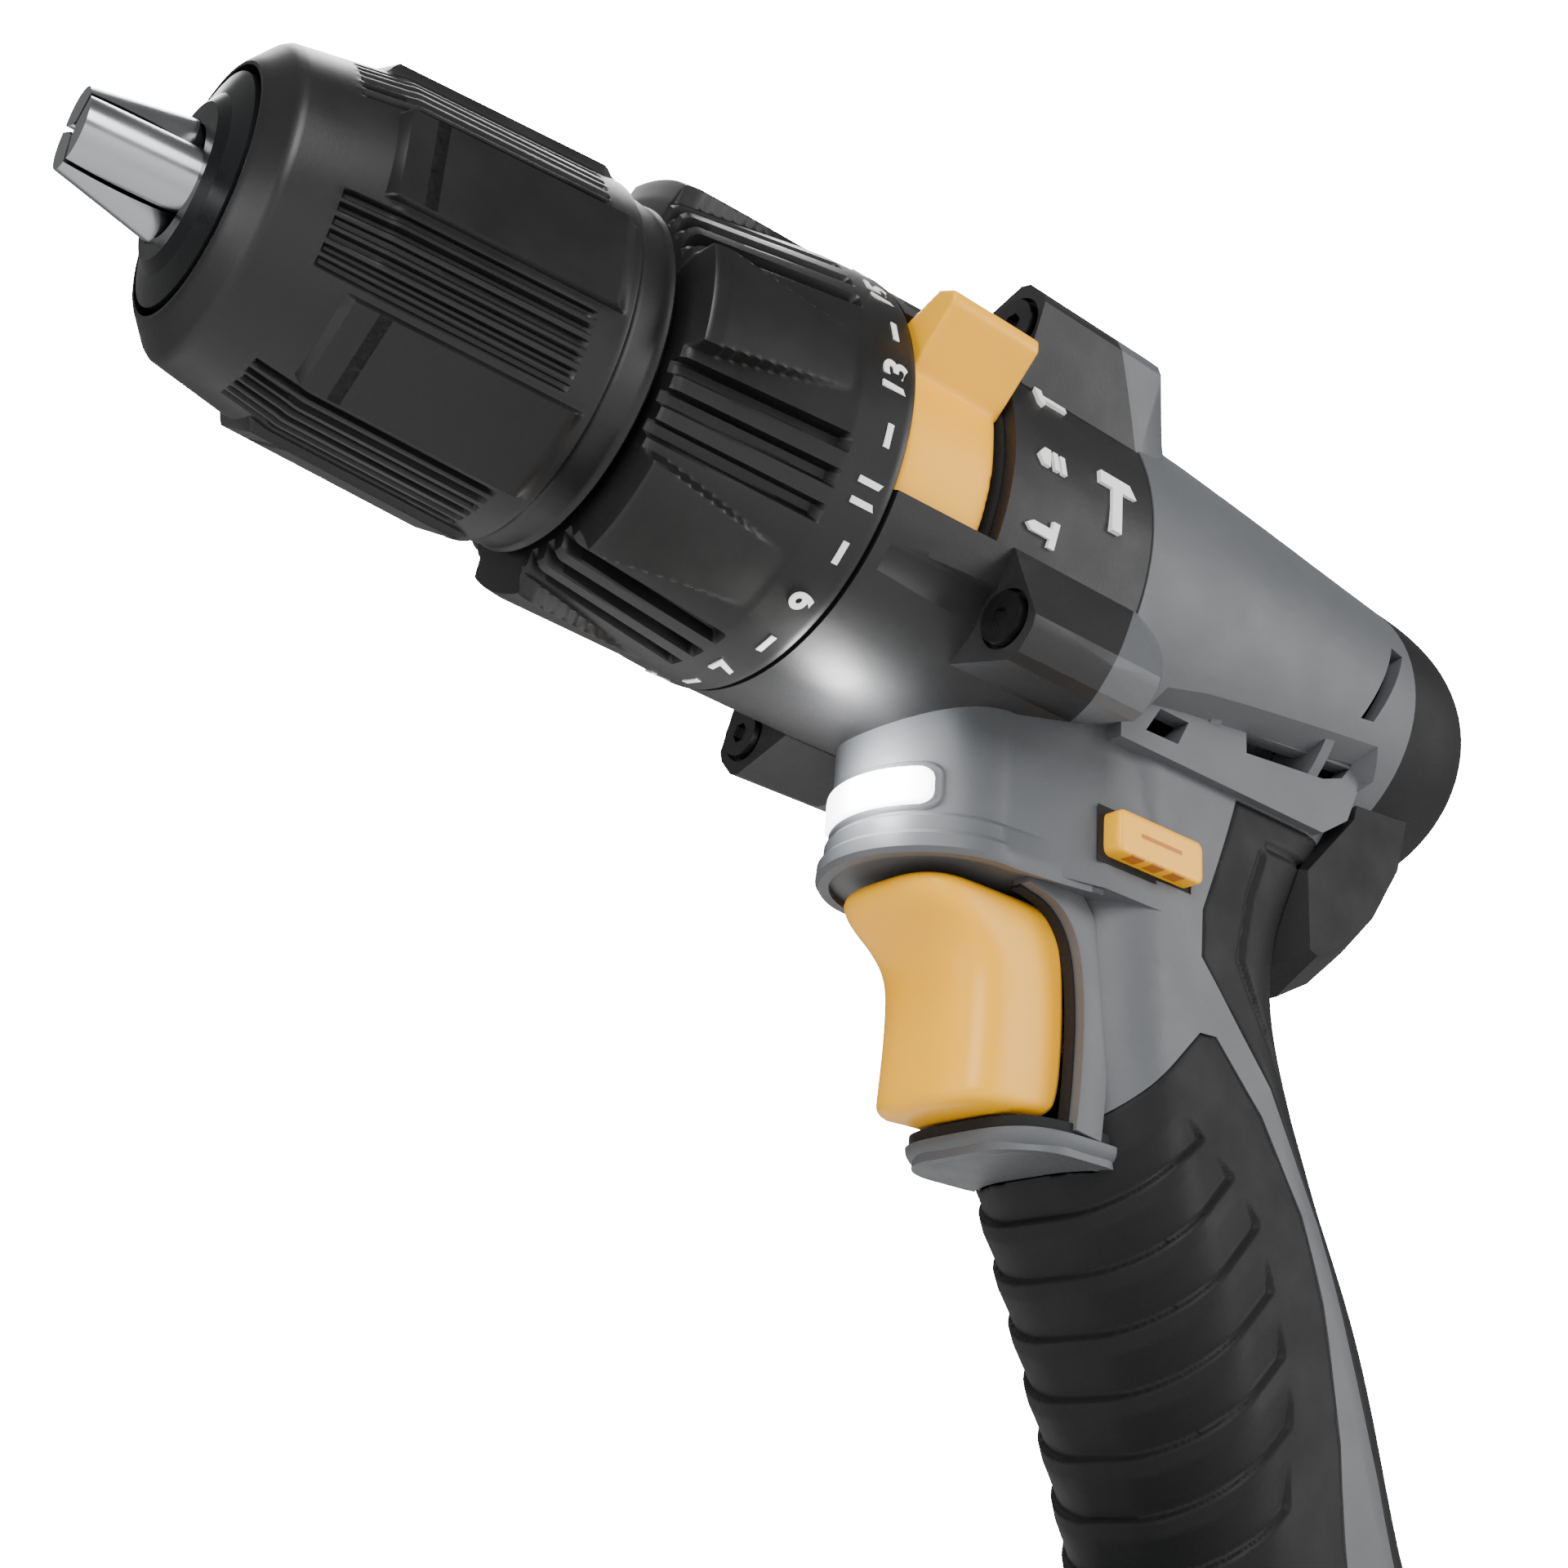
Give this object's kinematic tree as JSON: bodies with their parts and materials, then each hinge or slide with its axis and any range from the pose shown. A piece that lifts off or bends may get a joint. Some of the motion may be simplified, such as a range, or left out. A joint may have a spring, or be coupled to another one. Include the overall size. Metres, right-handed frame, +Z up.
{
  "type": "cordless drill",
  "caption": "Cordless hammer drill with keyless three-jaw chuck, torque ring, mode lever, geared motor, pistol grip with trigger, and slide-on battery pack.",
  "frame": {"origin": "centre of the flat bottom face of the battery pack", "axes": "+Z up; the chuck points to -X along the spindle; -Y is the side with the mode lever's thumb fin"},
  "size_m": [0.227, 0.075, 0.2292],
  "materials": {
    "light_housing": "satin moulded glass-filled nylon",
    "dark_housing": "fine textured glass-filled nylon",
    "rubber_grip": "matte overmoulded elastomer",
    "chuck_black": "satin black moulded nylon",
    "accent_yellow": "glossy moulded acetal",
    "led_clear": "frosted clear polycarbonate",
    "board_green": "solder-masked circuit board",
    "black_steel": "blackened steel",
    "bright_steel": "ground hardened steel",
    "gear_steel": "sintered and oiled steel",
    "screw_steel": "black zinc plated steel",
    "magnet": "sintered ferrite",
    "copper": "turned copper",
    "lamination": "stamped steel stack",
    "carbon": "pressed carbon",
    "pack_black": "textured moulded polycarbonate blend",
    "cell_wrap": "shrink-wrapped steel cell",
    "white_nylon": "natural moulded nylon"
  },
  "bodies": {
    "housing": {"housing_left": "light_housing", "housing_right": "light_housing", "rear_cap": "rubber_grip", "gear_housing": "dark_housing", "front_grip": "rubber_grip", "rear_grip": "rubber_grip", "led_lens": "led_clear", "led_board": "board_green", "housing_screws": "screw_steel", "gear_screws": "screw_steel", "motor_can": "bright_steel", "motor_magnets": "magnet", "motor_end_cap": "pack_black", "motor_brushes": "carbon", "gearbox_case": "white_nylon", "ring_gear_1": "gear_steel", "ring_gear_3": "gear_steel", "spindle_bearing": "bright_steel", "housing_ratchet": "gear_steel", "clutch_spring": "bright_steel", "switch_body": "pack_black", "terminal_block": "pack_black"},
    "rotor": {"rotor_shaft": "bright_steel", "motor_pinion": "gear_steel", "armature": "lamination", "commutator": "copper", "cooling_fan": "white_nylon"},
    "carrier_1": {"carrier_1": "gear_steel"},
    "carrier_2": {"carrier_2": "gear_steel"},
    "spindle": {"spindle": "bright_steel", "output_carrier": "gear_steel", "spindle_ratchet": "gear_steel", "chuck_body": "black_steel", "chuck_screw": "screw_steel"},
    "chuck_sleeve": {"chuck_sleeve": "chuck_black", "chuck_nut": "gear_steel"},
    "jaw_1": {"jaw_1": "bright_steel"},
    "jaw_2": {"jaw_2": "bright_steel"},
    "jaw_3": {"jaw_3": "bright_steel"},
    "torque_ring": {"torque_ring": "chuck_black"},
    "mode_ring": {"mode_ring": "accent_yellow"},
    "speed_selector": {"speed_slider": "accent_yellow", "shift_fork": "gear_steel", "ring_gear_2": "gear_steel"},
    "trigger": {"trigger": "accent_yellow"},
    "direction_button": {"direction_button": "accent_yellow"},
    "battery": {"battery_case_lower": "pack_black", "battery_case_upper": "pack_black", "battery_cells": "cell_wrap", "battery_board": "board_green"},
    "battery_latch": {"battery_latch": "accent_yellow"},
    "planet_1_1": {"planet_1_1": "gear_steel"},
    "planet_1_2": {"planet_1_2": "gear_steel"},
    "planet_1_3": {"planet_1_3": "gear_steel"},
    "planet_2_1": {"planet_2_1": "gear_steel"},
    "planet_2_2": {"planet_2_2": "gear_steel"},
    "planet_2_3": {"planet_2_3": "gear_steel"},
    "planet_3_1": {"planet_3_1": "gear_steel"},
    "planet_3_2": {"planet_3_2": "gear_steel"},
    "planet_3_3": {"planet_3_3": "gear_steel"}
  },
  "joints": [
    {"name": "rotor_spin", "type": "hinge", "parent": "housing", "child": "rotor", "pos_m": [-0.077, 0, 0.198], "axis": [1, 0, 0], "continuous": true},
    {"name": "carrier_1_spin", "type": "hinge", "parent": "housing", "child": "carrier_1", "pos_m": [-0.077, 0, 0.198], "axis": [1, 0, 0], "continuous": true},
    {"name": "carrier_2_spin", "type": "hinge", "parent": "housing", "child": "carrier_2", "pos_m": [-0.077, 0, 0.198], "axis": [1, 0, 0], "continuous": true},
    {"name": "spindle_spin", "type": "hinge", "parent": "housing", "child": "spindle", "pos_m": [-0.077, 0, 0.198], "axis": [1, 0, 0], "continuous": true},
    {"name": "planet_1_1_spin", "type": "hinge", "parent": "carrier_1", "child": "planet_1_1", "pos_m": [-0.077, 0.01148, 0.198], "axis": [1, 0, 0], "continuous": true},
    {"name": "planet_1_2_spin", "type": "hinge", "parent": "carrier_1", "child": "planet_1_2", "pos_m": [-0.077, -0.00574, 0.20794], "axis": [1, 0, 0], "continuous": true},
    {"name": "planet_1_3_spin", "type": "hinge", "parent": "carrier_1", "child": "planet_1_3", "pos_m": [-0.077, -0.00574, 0.18806], "axis": [1, 0, 0], "continuous": true},
    {"name": "planet_2_1_spin", "type": "hinge", "parent": "carrier_2", "child": "planet_2_1", "pos_m": [-0.077, 0.01148, 0.198], "axis": [1, 0, 0], "continuous": true},
    {"name": "planet_2_2_spin", "type": "hinge", "parent": "carrier_2", "child": "planet_2_2", "pos_m": [-0.077, -0.00574, 0.20794], "axis": [1, 0, 0], "continuous": true},
    {"name": "planet_2_3_spin", "type": "hinge", "parent": "carrier_2", "child": "planet_2_3", "pos_m": [-0.077, -0.00574, 0.18806], "axis": [1, 0, 0], "continuous": true},
    {"name": "planet_3_1_spin", "type": "hinge", "parent": "spindle", "child": "planet_3_1", "pos_m": [-0.077, 0.01148, 0.198], "axis": [1, 0, 0], "continuous": true},
    {"name": "planet_3_2_spin", "type": "hinge", "parent": "spindle", "child": "planet_3_2", "pos_m": [-0.077, -0.00574, 0.20794], "axis": [1, 0, 0], "continuous": true},
    {"name": "planet_3_3_spin", "type": "hinge", "parent": "spindle", "child": "planet_3_3", "pos_m": [-0.077, -0.00574, 0.18806], "axis": [1, 0, 0], "continuous": true},
    {"name": "chuck_turn", "type": "hinge", "parent": "spindle", "child": "chuck_sleeve", "pos_m": [-0.077, 0, 0.198], "axis": [-1, 0, 0], "range_deg": [0, 3600]},
    {"name": "jaw_1_slide", "type": "slide", "parent": "spindle", "child": "jaw_1", "axis": [0.9703, 0, 0.2419], "range_m": [0, 0.0222]},
    {"name": "jaw_2_slide", "type": "slide", "parent": "spindle", "child": "jaw_2", "axis": [0.9703, -0.2095, -0.121], "range_m": [0, 0.0222]},
    {"name": "jaw_3_slide", "type": "slide", "parent": "spindle", "child": "jaw_3", "axis": [0.9703, 0.2095, -0.121], "range_m": [0, 0.0222]},
    {"name": "torque_ring_turn", "type": "hinge", "parent": "housing", "child": "torque_ring", "pos_m": [-0.077, 0, 0.198], "axis": [1, 0, 0], "range_deg": [-270, 60]},
    {"name": "mode_select", "type": "hinge", "parent": "housing", "child": "mode_ring", "pos_m": [-0.077, 0, 0.198], "axis": [1, 0, 0], "range_deg": [0, 34]},
    {"name": "speed_select", "type": "slide", "parent": "housing", "child": "speed_selector", "axis": [1, 0, 0], "range_m": [0, 0.005]},
    {"name": "trigger_pull", "type": "slide", "parent": "housing", "child": "trigger", "axis": [1, 0, 0], "range_m": [0, 0.0065], "stiffness_N_per_m": 600, "springref_m": -0.004},
    {"name": "direction_shift", "type": "slide", "parent": "housing", "child": "direction_button", "axis": [0, 1, 0], "range_m": [-0.003, 0.003]},
    {"name": "battery_slide", "type": "slide", "parent": "housing", "child": "battery", "axis": [-1, 0, 0], "range_m": [0, 0.1]},
    {"name": "battery_latch_press", "type": "slide", "parent": "battery", "child": "battery_latch", "axis": [1, 0, 0], "range_m": [0, 0.0025], "stiffness_N_per_m": 400, "springref_m": -0.003}
  ],
  "couplings": [
    {"joint": "carrier_1_spin", "follows": "rotor_spin", "ratio": 0.27778},
    {"joint": "carrier_2_spin", "follows": "rotor_spin", "ratio": 0.07716},
    {"joint": "spindle_spin", "follows": "rotor_spin", "ratio": 0.021433},
    {"joint": "planet_1_1_spin", "follows": "rotor_spin", "ratio": -0.90278},
    {"joint": "planet_1_2_spin", "follows": "rotor_spin", "ratio": -0.90278},
    {"joint": "planet_1_3_spin", "follows": "rotor_spin", "ratio": -0.90278},
    {"joint": "planet_2_1_spin", "follows": "rotor_spin", "ratio": -0.25077},
    {"joint": "planet_2_2_spin", "follows": "rotor_spin", "ratio": -0.25077},
    {"joint": "planet_2_3_spin", "follows": "rotor_spin", "ratio": -0.25077},
    {"joint": "planet_3_1_spin", "follows": "rotor_spin", "ratio": -0.069659},
    {"joint": "planet_3_2_spin", "follows": "rotor_spin", "ratio": -0.069659},
    {"joint": "planet_3_3_spin", "follows": "rotor_spin", "ratio": -0.069659},
    {"joint": "jaw_1_slide", "follows": "chuck_turn", "m_per_rad": 0.00035332},
    {"joint": "jaw_2_slide", "follows": "chuck_turn", "m_per_rad": 0.00035332},
    {"joint": "jaw_3_slide", "follows": "chuck_turn", "m_per_rad": 0.00035332}
  ]
}
